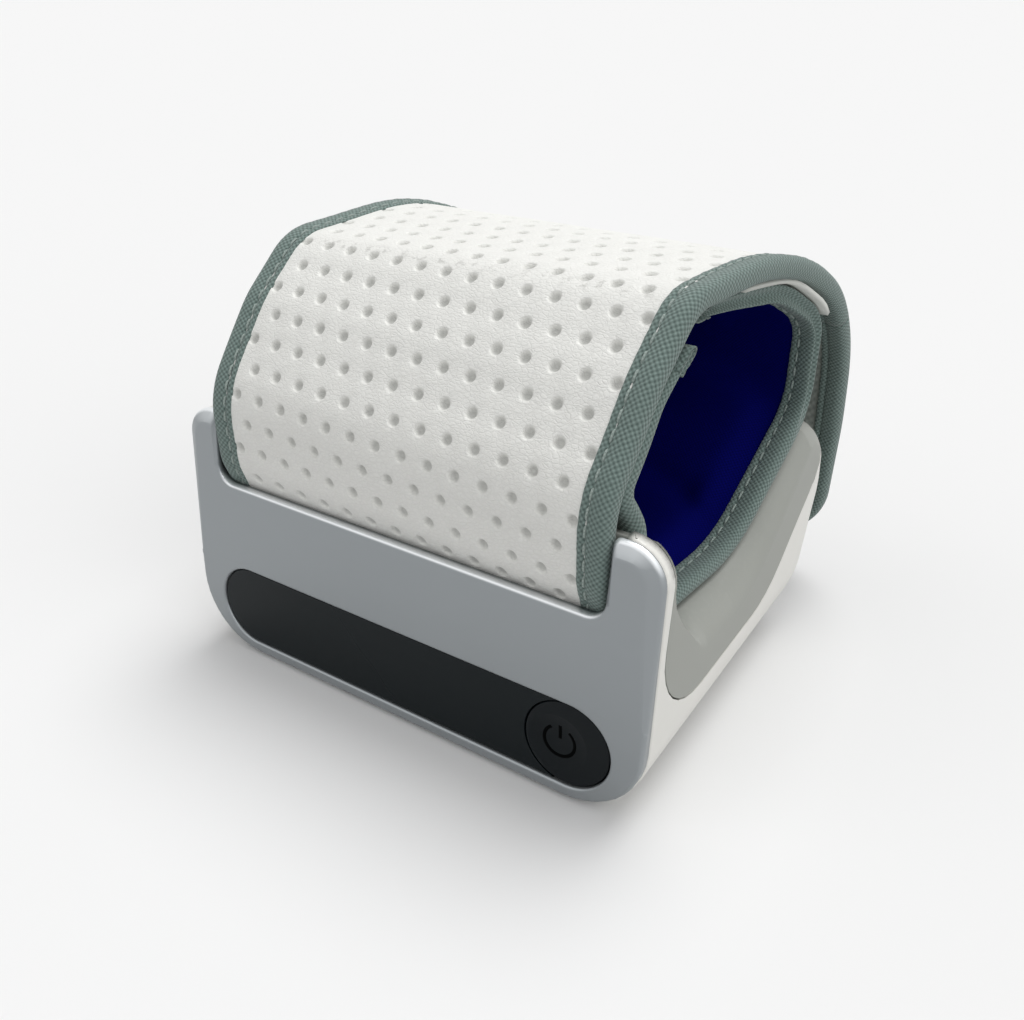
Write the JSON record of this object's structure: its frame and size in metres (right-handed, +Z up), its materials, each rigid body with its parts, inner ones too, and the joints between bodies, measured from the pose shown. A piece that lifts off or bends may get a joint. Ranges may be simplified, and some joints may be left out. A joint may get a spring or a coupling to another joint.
{
  "type": "wrist blood pressure monitor",
  "caption": "Low housing with a display strip and a power button, a curved wrist seat, a padded air cuff and a dimpled strap that folds open over it.",
  "frame": {"origin": "middle of the whole object's box, on the floor that the housing stands on", "axes": "+X along the wrist, from the display's left end to the power button; +Y from the display back to the strap's tail; +Z up"},
  "size_m": [0.09, 0.0858, 0.074],
  "materials": {
    "white_shell": "satin moulded white",
    "grey_cradle": "fine matte grey",
    "silver_panel": "satin silver paint",
    "dark_window": "polished smoked plastic",
    "dark_button": "satin dark plastic",
    "black_chip": "matte black",
    "green_board": "green lacquer",
    "bright_steel": "bright",
    "cell_jacket": "dark printed jacket, no lettering",
    "black_plastic": "matte black",
    "tube_rubber": "milky silicone",
    "white_leatherette": "white leatherette with dimples",
    "pale_former": "pale flexible sheet",
    "grey_knit": "brushed knit",
    "grey_binding": "woven grey-green tape, stitched",
    "bladder_film": "dull film",
    "navy_lining": "soft navy cloth"
  },
  "bodies": {
    "housing": {"main_shell": "white_shell", "cradle": "grey_cradle", "front_panel": "silver_panel", "display_window": "dark_window", "display_module": "black_chip", "main_board": "green_board", "button_switch": "black_chip", "control_chip": "black_chip", "pressure_sensor": "bright_steel", "battery_1": "cell_jacket", "battery_2": "cell_jacket", "battery_contact_left": "bright_steel", "battery_contact_right": "bright_steel", "battery_tray": "black_plastic", "pump_head": "black_plastic", "pump_motor": "bright_steel", "air_manifold": "tube_rubber", "release_valve": "bright_steel", "air_tube_valve": "tube_rubber", "air_tube_sensor": "tube_rubber", "air_tube_pump": "tube_rubber", "air_nipple": "tube_rubber", "case_screw_1": "bright_steel", "case_screw_2": "bright_steel", "case_screw_3": "bright_steel", "case_screw_4": "bright_steel", "strap_root": "grey_binding", "cuff_backing": "grey_knit", "air_bladder": "bladder_film", "cuff_lining": "navy_lining", "cuff_binding_left": "grey_binding", "cuff_binding_right": "grey_binding", "cuff_former": "pale_former"},
    "power_button": {"power_button": "dark_button"},
    "battery_door": {"battery_door": "white_shell"},
    "strap": {"strap_skin": "white_leatherette", "strap_former": "pale_former", "strap_lining": "grey_knit", "strap_binding_left": "grey_binding", "strap_binding_right": "grey_binding"},
    "strap_tail": {"tail_skin": "white_leatherette", "tail_former": "pale_former", "tail_hook_pad": "grey_knit", "tail_binding": "grey_binding"}
  },
  "joints": [
    {"name": "button_press", "type": "slide", "parent": "housing", "child": "power_button", "axis": [0, 0.9986, -0.0523], "range_m": [0, 0.0006], "stiffness_N_per_m": 2500},
    {"name": "door_slide", "type": "slide", "parent": "housing", "child": "battery_door", "axis": [0, 1, 0], "range_m": [0, 0.03]},
    {"name": "strap_open", "type": "hinge", "parent": "housing", "child": "strap", "pos_m": [0, -0.04064, 0.036], "axis": [1, 0, 0], "range_deg": [0, 80]},
    {"name": "tail_peel", "type": "hinge", "parent": "strap", "child": "strap_tail", "pos_m": [0, 0.04058, 0.0515], "axis": [1, 0, 0], "range_deg": [0, 70]}
  ]
}
